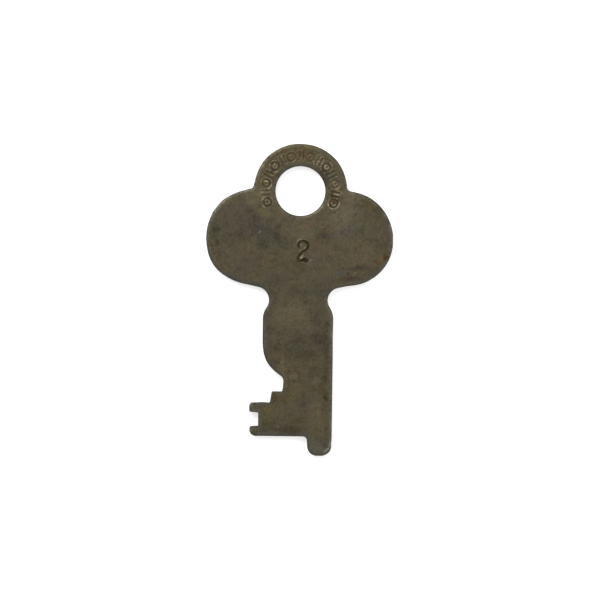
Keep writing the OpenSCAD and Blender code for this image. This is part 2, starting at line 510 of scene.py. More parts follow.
@dataclass
class StruckFigure:
    """The figure 2 struck below the ring hole: a hook, a slanting stem and a heavy foot."""

    width: float = 0.34
    depth: float = 0.17
    hook_dirt: float = 0.8
    foot_dirt: float = 1.0
    dirt_width: float = 0.31
    foot_growth: float = 1.8
    hook: tuple[Pair, ...] = (
        (-0.12, -7.41), (-0.17, -7.27), (-0.19, -7.1), (-0.05, -6.84), (0.18, -6.69),
        (0.46, -6.65), (0.77, -6.71), (1.01, -6.9), (1.11, -7.18), (1.07, -7.48),
        (0.87, -7.77), (0.59, -7.95), (0.29, -8.15), (0.03, -8.42), (-0.17, -8.74),
        (-0.24, -9.04), (-0.05, -9.27),
    )
    foot: tuple[Pair, ...] = (
        (-0.05, -9.27), (0.23, -9.19), (0.51, -9.1), (0.73, -9.12), (0.9, -9.22),
    )

    def strokes(self) -> list[Stroke]:
        """Lays out the punch's two lines, the hook with its stem and the foot."""
        hook = Stroke(self.hook, self.width, self.depth, self.hook_dirt, self.dirt_width)
        return [hook, replace(hook, path=self.foot, dirt=self.foot_dirt, growth=self.foot_growth)]


@dataclass
class StruckBorder:
    """The border round the eye: dotted rings and pairs of bars, each struck by hand."""

    count: int = 8
    sweep: float = 220
    radius: float = 4.6625
    reach: float = 0.5125
    gap: float = 0.56
    width: float = 0.36
    depth: float = 0.085
    dirt_width: float = 0.15
    seed: int = 5
    turn_slack: Pair = (-0.8, 0.8)
    radius_slack: Pair = (-0.05, 0.05)
    lean_slack: Pair = (-0.07, 0.07)
    weights: Pair = (0.55, 1.15)
    bar_weights: Pair = (0.8, 1.1)
    top_weight: float = 0.7
    low_weight: float = 0.3
    top_rub: float = 0.5
    low_rub: float = 0.7
    fills: Pair = (0.35, 0.9)
    ring_step: float = 30
    dot_size: float = 0.8
    dot_reach: float = 0.01

    def strokes(self) -> list[Stroke]:
        """Lays out the punch's lines, each blow a little off and of its own weight.

        Returns:
            The strokes of the whole border.
        """
        hand = random.Random(self.seed)
        half_sweep, pitch = self.sweep / 2, self.sweep / (self.count - 1) / 2
        marks = []
        for i in range(2 * self.count - 1):
            turn = -half_sweep + i * pitch + hand.uniform(*self.turn_slack)
            angle = math.radians(90 + turn)
            radius = self.radius + hand.uniform(*self.radius_slack)
            low = self.top_weight + self.low_weight * abs(turn) / 90
            weight = self.depth * hand.uniform(*self.weights) * low
            rub = hand.uniform(0.0, 1.0)
            rub *= self.top_rub + self.low_rub * (turn / half_sweep) ** 2
            fill = (hand.uniform(*self.fills), self.dirt_width, rub)
            out = Vector((math.cos(angle), math.sin(angle)))
            across = Vector((-out.y, out.x))
            lean = hand.uniform(*self.lean_slack)
            if i % 2:
                for side in (-1, 1):
                    middle = out * radius + across * side * self.gap / 2
                    half = (out + across * lean) * self.reach
                    path = (tuple(middle - half), tuple(middle), tuple(middle + half))
                    deep = weight * hand.uniform(*self.bar_weights)
                    marks.append(Stroke(path, self.width, deep, *fill))
                continue
            ring = tuple(
                tuple(out * (radius + self.reach * math.cos(a)) + across * self.reach * math.sin(a))
                for a in np.radians(np.arange(0, 360, self.ring_step))
            )
            marks.append(Stroke(ring, self.width, weight, *fill, closed=True))
            ends = (radius - self.dot_reach, radius + self.dot_reach)
            dot = tuple(tuple(out * end) for end in ends)
            marks.append(Stroke(dot, self.width * self.dot_size, weight * self.dot_size, *fill))
        return marks


@dataclass
class StruckFace:
    """Everything that was driven into the struck face, as heights and masks over it."""

    strokes: list[Stroke]
    lip: float = 0.02
    lip_place: float = 1.25
    lip_reach: float = 0.09
    lip_depth: float = 0.13
    lip_most: float = 1.3
    flank: float = 0.25
    worn: float = 0.85
    wear: Wave = Wave(0.35, 0.55, 7.0)

    def __post_init__(self) -> None:
        """Sets out the beads of all the strokes in one plan."""
        beads = [stroke.beads() for stroke in self.strokes]
        self._owner = np.repeat(np.arange(len(beads)), [len(rows) for rows in beads])
        self._size = np.vstack(beads)[:, 2]
        self.plan = Plan(np.vstack(beads))

    def relief(self, rows: Array) -> tuple[Array, Array, Array]:
        """Works out the grooves and the lips that the metal raised beside them.

        Args:
            rows: places in millimetres.

        Returns:
            The height against the flat, the share of dirt and the share of rubbed lip at each
            place.
        """
        away, bead = self.plan.nearest(rows)
        away = away / self._size[bead]
        width, depth, dirt, dirt_width, rub = (
            np.array([getattr(stroke, name) for stroke in self.strokes])[self._owner[bead]]
            for name in ("width", "depth", "dirt", "dirt_width", "rub")
        )
        half, depth = width / 2, depth * self._size[bead]
        worn = self.worn + self.wear.over(rows)
        across = np.clip(away / half, 0, 1)
        groove = (1 - across) * (1 + self.flank * across)
        lip = falloff(away - half * self.lip_place, self.lip_reach)
        lip *= np.where(away > half, 1, across**3)
        raised = self.lip * lip * np.clip(depth / self.lip_depth, 0, self.lip_most)
        filled = (1 - np.clip(away / dirt_width * 2, 0, 1) ** 2) * dirt * np.clip(worn, 0, 1)
        return raised - depth * worn * groove, filled, lip * rub


@dataclass(frozen=True)
class Dint:
    """A small dent that the face picked up in use, with the rim it raised."""

    centre: Pair
    reach: float
    depth: float
    face: Face = Face.STRUCK
    rim_place: float = 1.6
    rim_share: float = 0.25

    def sink(self, rows: Array) -> Array:
        """How far the face sinks at each place.

        Args:
            rows: places in millimetres.

        Returns:
            The depth, negative where the rim of the dent stands up.
        """
        away = np.linalg.norm(rows[:, :2] - self.centre, axis=1)
        rim = falloff(away - self.rim_place * self.reach, self.reach)
        return self.depth * (falloff(away, self.reach) - self.rim_share * rim)


# The plate


@dataclass
class KeyPlate:
    """The one piece of the key, shaped over the CAD solid from its own outline."""

    flat: float = 1.468
    pitch: float = 0.12
    back_pitch: float = 0.36
    burr: float = 0.05
    wall_rows: int = 9
    rim_lines: tuple[float, ...] = (0.2, 0.4, 0.6, 0.8, 1.0)
    clearance: float = 0.1
    fine_reaches: Pair = (0.5, 0.28)
    edge_reach: float = 1.2
    tear: float = 0.55
    tear_waves: tuple[Wave, ...] = (Wave(0.1, 1.6, 9.0), Wave(0.05, 0.4, 3.0))
    tear_blend: float = 0.12
    torn_depths: Pair = (0.012, 0.03)
    torn_grain: float = 0.22
    row_shift: float = 3.7
    score: Wave = Wave(0.5, 0.25, 2.0)
    score_depth: float = 0.006
    face_waves: tuple[Wave, ...] = (Wave(0.012, 4.2, 0.3), Wave(0.005, 1.3, 0.9))
    face_sink: float = 0.012
    front_fade: Pair = (0.0, 0.3)
    back_fade: Pair = (0.06, 0.4)
    dints: tuple[Dint, ...] = (
        Dint((0.09, -8.66), 0.17, 0.05),
        Dint((-5.3, -5.48), 0.13, 0.05),
        Dint((3.04, -4.57), 0.16, 0.05),
        Dint((-2.62, -31.12), 0.2, 0.03),
        Dint((-1.26, -20.4), 0.2, 0.03),
        Dint((-1.82, -27.83), 0.22, 0.03),
        Dint((-10.9, -7.0), 0.22, 0.03),
        Dint((-11.1, -5.5), 0.3, 0.03),
        Dint((7.9, -10.2), 0.5, 0.025),
        Dint((3.4, -24.8), 0.25, 0.03),
        Dint((5.1, -4.2), 0.16, 0.03, Face.BACK),
        Dint((-6.8, -8.8), 0.3, 0.04, Face.BACK),
        Dint((0.8, -19.5), 0.25, 0.04, Face.BACK),
        Dint((1.9, -29.4), 0.2, 0.03, Face.BACK),
    )
    outline: Outline = field(default_factory=Outline)
    marks: StruckFace = field(
        default_factory=lambda: StruckFace(StruckFigure().strokes() + StruckBorder().strokes())
    )
    obj: Object = field(init=False)
    mesh: Mesh = field(init=False)

    def build(self, cad: Object) -> Object:
        """Makes the plate.

        Args:
            cad: the CAD node, of which a copy gives the outline.

        Returns:
            The finished object, in metres, with masks for its finish as attributes.
        """
        self.mesh = cad.data.copy()
        self.obj = bpy.data.objects.new("key_plate", self.mesh)
        bpy.context.scene.collection.objects.link(self.obj)
        self.mesh.materials.clear()
        self.mesh.transform(Matrix.Scale(1 / MM, 4))
        self.outline.read(self.obj)
        self._start()
        self._raise_edge()
        self._turn_in_foot()
        self._close(Face.BACK)
        self._close(Face.STRUCK)
        self._work_faces()
        with editing(self.obj, Kind.VERTICES):
            bpy.ops.mesh.select_all(action="SELECT")
            bpy.ops.mesh.delete_loose()
            bpy.ops.mesh.select_all(action="SELECT")
            bpy.ops.mesh.normals_make_consistent(inside=False)
        while self.mesh.uv_layers:
            self.mesh.uv_layers.remove(self.mesh.uv_layers[0])
        self.mesh.transform(Matrix.Scale(MM, 4))
        bpy.ops.object.shade_smooth()
        return self.obj

    def _start(self) -> None:
        """Leaves only the foot of the wall in the mesh, as one loop of edges for each outline."""
        stations = self.outline.points
        edges = np.column_stack([np.arange(len(stations)), self.outline.following])
        foot = np.column_stack([stations, np.full(len(stations), self.burr)])
        self.mesh.clear_geometry()
        self.mesh.from_pydata(foot.tolist(), edges.tolist(), [])
        station = self.mesh.attributes.new("station", "INT", "POINT")
        station.data.foreach_set("value", np.arange(len(stations)))

    def _draw_out(self, chosen: Array, lines: list[Array]) -> None:
        """Extrudes loops of edges again and again, along given lines.

        Args:
            chosen: one truth value for each vertex, which picks the loops.
            lines: for each extrusion, the place of every station.
        """
        pick(self.mesh, chosen)
        for line in lines:
            with editing(self.obj, Kind.EDGES):
                bpy.ops.mesh.extrude_edges_move()
            drawn = column(self.mesh.vertices, "select", bool)
            station = column(self.mesh.attributes["station"].data, "value", int)
            rows = places(self.mesh)
            rows[drawn] = line[station[drawn]]
            put(self.mesh, rows)

    def _raise_edge(self) -> None:
        """Draws the wall up from its foot, sheared above and torn below, and rolls the rim."""
        plan, normals = self.outline.points, self.outline.normals
        top = self.flat - self.outline.roll_drop
        tear = sum((part.over(plan) for part in self.tear_waves), self.tear)
        score = 0.5 + self.score.over(plan)
        lines = []
        for row in range(1, self.wall_rows + 1):
            height = self.burr + (top - self.burr) * row / self.wall_rows
            torn = np.clip((tear - height) / self.tear_blend, 0, 1)
            grain = Wave(0.5, self.torn_grain, 1.0 + row)
            rough = 0.5 + grain.over(plan + [row * self.row_shift, 0])
            ragged = self.torn_depths[0] + self.torn_depths[1] * rough
            inward = torn * ragged + (1 - torn) * self.score_depth * score
            if row == self.wall_rows:
                inward = np.zeros(len(plan))
            lines.append(np.column_stack([plan - normals * inward[:, None], height]))
        lines += [self.outline.rim(share, self.flat) for share in self.rim_lines]
        self._draw_out(np.ones(len(plan), bool), lines)

    def _turn_in_foot(self) -> None:
        """Turns the foot of the wall in to the back face."""
        foot = np.arange(len(self.mesh.vertices)) < len(self.outline.points)
        plan = self.outline.points - self.outline.normals * self.burr
        self._draw_out(foot, [np.column_stack([plan, np.zeros(len(plan))])])

    def _close(self, face: Face) -> None:
        """Lays a grid inside the open loops of a face, finer where it is struck, and joins it.

        Args:
            face: the face to close.
        """
        struck = face is Face.STRUCK
        height = self.flat if struck else 0.0
        pitch = self.pitch if struck else self.back_pitch
        before = len(self.mesh.vertices)
        low, high = self.outline.points.min(axis=0), self.outline.points.max(axis=0)
        middle, reach = (low + high) / 2, float(max(high - low))
        count = int(reach / pitch)
        with editing(self.obj, Kind.VERTICES):
            bpy.ops.mesh.select_all(action="DESELECT")
            bpy.ops.mesh.primitive_grid_add(
                x_subdivisions=count,
                y_subdivisions=count,
                size=reach,
                location=(*middle, height),
            )
        rows = places(self.mesh)
        fresh = np.arange(len(rows)) >= before
        depth, near = self.outline.nearest(rows[fresh])
        rim = self.outline.roll_width[near] if struck else self.burr
        outside = fresh.copy()
        outside[fresh] = depth < rim + self.clearance
        pick(self.mesh, outside)
        with editing(self.obj, Kind.VERTICES):
            bpy.ops.mesh.delete(type="VERT")
        if struck:
            self._refine(before)
        self._bridge(height)

    def _refine(self, before: int) -> None:
        """Splits the grid's cells near the strokes, and again at their middles.

        Args:
            before: how many vertices came before the grid.
        """
        for reach in self.fine_reaches:
            rows = places(self.mesh)
            close = np.zeros(len(rows), bool)
            close[before:] = self.marks.plan.nearest(rows[before:])[0] < reach
            pick(self.mesh, close)
            with editing(self.obj, Kind.FACES):
                bpy.ops.mesh.subdivide(number_cuts=1)

    def _bridge(self, height: float) -> None:
        """Fills between the open edges at one height.

        Args:
            height: the height of the open edges.
        """
        with editing(self.obj, Kind.EDGES):
            select_open(wire=True)
        level = np.abs(places(self.mesh)[:, 2] - height) < 10 * TOUCH
        for edge in self.mesh.edges:
            edge.select = edge.select and bool(level[list(edge.vertices)].all())
        self.mesh.vertices.foreach_set("select", [False] * len(self.mesh.vertices))
        self.mesh.polygons.foreach_set("select", [False] * len(self.mesh.polygons))
        with editing(self.obj, Kind.EDGES):
            bpy.ops.mesh.fill(use_beauty=True)

    def _work_faces(self) -> None:
        """Strikes, dents and wears the faces, and keeps the masks for the finish."""
        rows = places(self.mesh)
        depth, near = self.outline.nearest(rows)
        front = rows[:, 2] > self.flat - self.outline.roll_drop[near] - TOUCH
        inside = front & (depth > 2 * TOUCH)
        groove, lip = np.zeros(len(rows)), np.zeros(len(rows))
        height, groove[inside], lip[inside] = self.marks.relief(rows[inside])
        rows[inside, 2] += height
        wave = sum(part.over(rows) for part in self.face_waves) - self.face_sink
        rows[front, 2] += (np.minimum(wave, 0) * rise(depth, *self.front_fade))[front]
        back = rows[:, 2] < TOUCH
        rows[back, 2] += (np.abs(wave) * rise(depth, *self.back_fade))[back]
        for dint in self.dints:
            if dint.face is Face.STRUCK:
                rows[front, 2] -= dint.sink(rows)[front]
            else:
                rows[back, 2] += dint.sink(rows)[back]
        rows = np.clip(rows, np.array(CAD_BOX[0]) / MM, np.array(CAD_BOX[1]) / MM)
        put(self.mesh, rows)
        self.mesh.attributes.remove(self.mesh.attributes["station"])
        masks = {
            "groove": groove,
            "lip": lip,
            "wall": ~front & (rows[:, 2] > self.burr / 2),
            "edge": np.clip(1 - depth / self.edge_reach, 0, 1),
            "lee": self.outline.lee[near],
            "lit": self.outline.lit[near],
        }
        for name, values in masks.items():
            kept = self.mesh.attributes.new(name, "FLOAT", "POINT")
            kept.data.foreach_set("value", values.astype(np.float32))


# Node trees


class Graph:
    """A node tree over places in millimetres, with short ways to add the nodes used here."""

    RAMP = ("Value", "From Min", "From Max", "To Min", "To Max")

    def __init__(self, tree: NodeTree, given: NodeOutputs | None = None) -> None:
        """Keeps the tree that is being wired, and a group's inputs with the place among them."""
        self.tree, self.given = tree, given
        self.place = given["Place"] if given else None

    @classmethod
    def of(cls, owner: Material | World) -> "Graph":
        """Takes up the node tree of a material or a world, emptied.

        Args:
            owner: the material or the world.

        Returns:
            The graph of its tree.
        """
        owner.use_nodes = True
        owner.node_tree.nodes.clear()
        return cls(owner.node_tree)

    def add(
        self, kind: str, sockets: dict[str | int, Value] | None = None, **settings: object
    ) -> Node:
        """Adds a node.

        Args:
            kind: the shader node's type.
            sockets: what each input is set to or takes its value from.
            settings: the node's own options.

        Returns:
            The new node.
        """
        node = self.tree.nodes.new(f"ShaderNode{kind}")
        for name, value in settings.items():
            setattr(node, name, value)
        for key, value in (sockets or {}).items():
            if isinstance(value, Socket):
                self.tree.links.new(value, node.inputs[key])
            else:
                node.inputs[key].default_value = value
        return node

    def maths(self, operation: str, *values: Value) -> Socket:
        """Adds a Math node of the given operation and returns its result."""
        return self.add("Math", dict(enumerate(values)), operation=operation).outputs[0]

    def vector(self, operation: str, *values: Value) -> Socket:
        """Adds a Vector Math node of the given operation.

        Args:
            operation: the node's operation.
            values: its inputs in order; a scale is the last input.

        Returns:
            The vector, or the value where the operation gives one.
        """
        keys = (0, "Scale") if operation == "SCALE" else (0, 1)
        node = self.add("VectorMath", dict(zip(keys, values)), operation=operation)
        return node.outputs["Value" if operation == "LENGTH" else "Vector"]

    def ramp(self, value: Value, span: Pair, ends: Pair = (0, 1)) -> Socket:
        """Adds a smooth step from one end to the other, as a value crosses a span."""
        sockets = dict(zip(self.RAMP, (value, *span, *ends)))
        return self.add("MapRange", sockets, interpolation_type="SMOOTHSTEP").outputs["Result"]

    def noise(
        self, scale: float, detail: float, rough: float, place: Socket | None = None
    ) -> Socket:
        """Adds noise over the graph's own place or another, about 0.5 at its middle."""
        sockets = {"Vector": place or self.place, "Scale": scale, "Detail": detail}
        return self.add("TexNoise", sockets | {"Roughness": rough}).outputs["Fac"]

    def blend(self, mode: str, factor: Value, under: Value, over: Value) -> Socket:
        """Adds a colour mix and returns the mixed colour."""
        sockets = {0: factor, 6: under, 7: over}
        return self.add("Mix", sockets, data_type="RGBA", blend_type=mode).outputs[2]

    def effect(self, effect: "Effect", **sockets: Value) -> Node:
        """Adds a shared effect's group node, over the graph's own place unless told another."""
        sockets = {"Place": self.place} | sockets
        return self.add("Group", sockets, node_tree=effect.group(), label=effect.name)


class Effect:
    """A look that a material places as one node group, with its own values."""

    name = ""
    takes: dict[str, str] = {}
    gives: dict[str, str] = {"Mask": "Float"}

    def group(self) -> NodeTree:
        """Finds the effect's node group, or builds it the first time.

        Returns:
            The node group.
        """
        if self.name in bpy.data.node_groups:
            return bpy.data.node_groups[self.name]
        tree = bpy.data.node_groups.new(self.name, "ShaderNodeTree")
        for side, labels in (("INPUT", {"Place": "Vector"} | self.takes), ("OUTPUT", self.gives)):
            for label, kind in labels.items():
                tree.interface.new_socket(label, in_out=side, socket_type=f"NodeSocket{kind}")
        given = tree.nodes.new("NodeGroupInput").outputs
        sink = tree.nodes.new("NodeGroupOutput")
        for label, socket in self.wire(Graph(tree, given)).items():
            tree.links.new(socket, sink.inputs[label])
        return tree

    def wire(self, graph: Graph) -> dict[str, Socket]:
        """Wires the inside of the group, and returns the socket that feeds each output."""
        raise NotImplementedError


class StainMask(Effect):
    """An oval patch with a soft edge, turned and sized by its inputs."""

    name = "stain mask"
    takes = {"Middle": "Vector", "Size": "Vector", "Turn": "Float"}
    soft_edge: Pair = (0.4, 1.6)

    def wire(self, graph: Graph) -> dict[str, Socket]:
        """Turns and squeezes the place about the middle, and fades by distance.

        Args:
            graph: the group's graph.

        Returns:
            The mask.
        """
        away = graph.vector("SUBTRACT", graph.place, graph.given["Middle"])
        sockets = {"Vector": away, "Angle": graph.given["Turn"]}
        turned = graph.add("VectorRotate", sockets, rotation_type="Z_AXIS")
        squeezed = graph.vector("DIVIDE", turned.outputs["Vector"], graph.given["Size"])
        away = graph.vector("LENGTH", squeezed)
        return {"Mask": graph.ramp(away, self.soft_edge, (1, 0))}


class Mottle(Effect):
    """The uneven tone of old patina: lighter and darker, warmer and cooler, green and violet."""

    name = "patina mottle"
    takes = {"Light": "Float", "Grain": "Float", "Warmth": "Float", "Green": "Float"}
    gives = {"Tint": "Color", "Light": "Float"}
    detail: Pair = (4, 0.95)
    fields: tuple[tuple[str, float, float, Triple], ...] = (
        ("Light", 0.0, 0.5, (1.0, 1.0, 1.0)),
        ("Grain", 13.0, 2.5, (1.0, 1.0, 1.0)),
        ("Warmth", 31.0, 0.6, (0.5, 0.0, -0.5)),
        ("Green", 67.0, 0.6, (-0.33, 0.67, -0.33)),
    )

    def wire(self, graph: Graph) -> dict[str, Socket]:
        """Adds up fields of noise, each shifted, sized and sent along its own line of colour.

        Args:
            graph: the group's graph.

        Returns:
            The tint, and the light field alone.
        """
        tint, tones = (1.0, 1.0, 1.0), []
        for label, shift, scale, line in self.fields:
            moved = graph.vector("ADD", graph.place, (shift, shift, shift))
            tone = graph.maths("SUBTRACT", graph.noise(scale, *self.detail, moved), 0.5)
            tones.append(graph.maths("MULTIPLY", tone, graph.given[label]))
            tint = graph.vector("ADD", tint, graph.vector("SCALE", line, tones[-1]))
        return {"Tint": tint, "Light": tones[0]}


class Specks(Effect):
    """Scattered small spots, of which only some of the cells hold one."""

    name = "scattered specks"
    takes = {"Scale": "Float", "Share": "Float", "Size": "Float"}
    sizes: Pair = (0.8, 0.35)
    soft_edge: Pair = (0.3, 1.0)

    def wire(self, graph: Graph) -> dict[str, Socket]:
        """Fades each chosen cell out from its middle.

        Args:
            graph: the group's graph.

        Returns:
            The mask.
        """
        sockets = {"Vector": graph.place, "Scale": graph.given["Scale"]}
        cells = graph.add("TexVoronoi", sockets)
        parts = graph.add("SeparateColor", {"Color": cells.outputs["Color"]})
        chosen = graph.maths("LESS_THAN", parts.outputs["Red"], graph.given["Share"])
        grown = graph.maths("MULTIPLY_ADD", parts.outputs["Green"], *self.sizes)
        reach = graph.maths("MULTIPLY", grown, graph.given["Size"])
        near = graph.maths("DIVIDE", cells.outputs["Distance"], reach)
        spot = graph.ramp(near, self.soft_edge, (1, 0))
        return {"Mask": graph.maths("MULTIPLY", spot, chosen)}


class WearAndHighlight(Effect):
    """Where hands and pockets rubbed the metal bright, broken up by the grain of the wear; it also
    breaks up the painted highlight on the rims that face the key lamp.
    """

    name = "wear and painted highlight"
    takes = {"Ridge": "Float", "Amount": "Float"}
    grain: Triple = (2.4, 3, 0.7)
    span: Pair = (0.42, 0.66)

    def wire(self, graph: Graph) -> dict[str, Socket]:
        """Lets noise eat into the ridge.

        Args:
            graph: the group's graph.

        Returns:
            The mask.
        """
        broken = graph.ramp(graph.noise(*self.grain), self.span)
        rubbed = graph.maths("MULTIPLY", graph.given["Ridge"], broken)
        return {"Mask": graph.maths("MULTIPLY", rubbed, graph.given["Amount"])}


# Finishes


@dataclass(frozen=True)
class StainAndHighlight:
    """A patch with its own tint, named for where it lies: mostly a stain of the patina, while those
    marked in the table are painted highlights and reflections.
    """

    name: str
    centre: Pair
    size: Pair
    tint: Triple
    turn: float = 0
    depth: float = 0.9

    def lay(self, graph: Graph, place: Socket, broken: Socket, under: Socket) -> Socket:
        """Tints the colour below.

        Args:
            graph: the material's graph.
            place: where each point lies, in millimetres, warped.
            broken: noise that makes the patch uneven.
            under: the colour so far.

        Returns:
            The colour with this patch on it.
        """
        patch = graph.effect(
            StainMask(),
            Place=place,
            Middle=(*self.centre, Face.STRUCK.value),
            Size=(*self.size, self.depth),
            Turn=math.radians(-self.turn),
        )
        patch.label = self.name
        mask = graph.maths("MULTIPLY", patch.outputs["Mask"], broken)
        return graph.blend("MULTIPLY", mask, under, (*self.tint, 1))
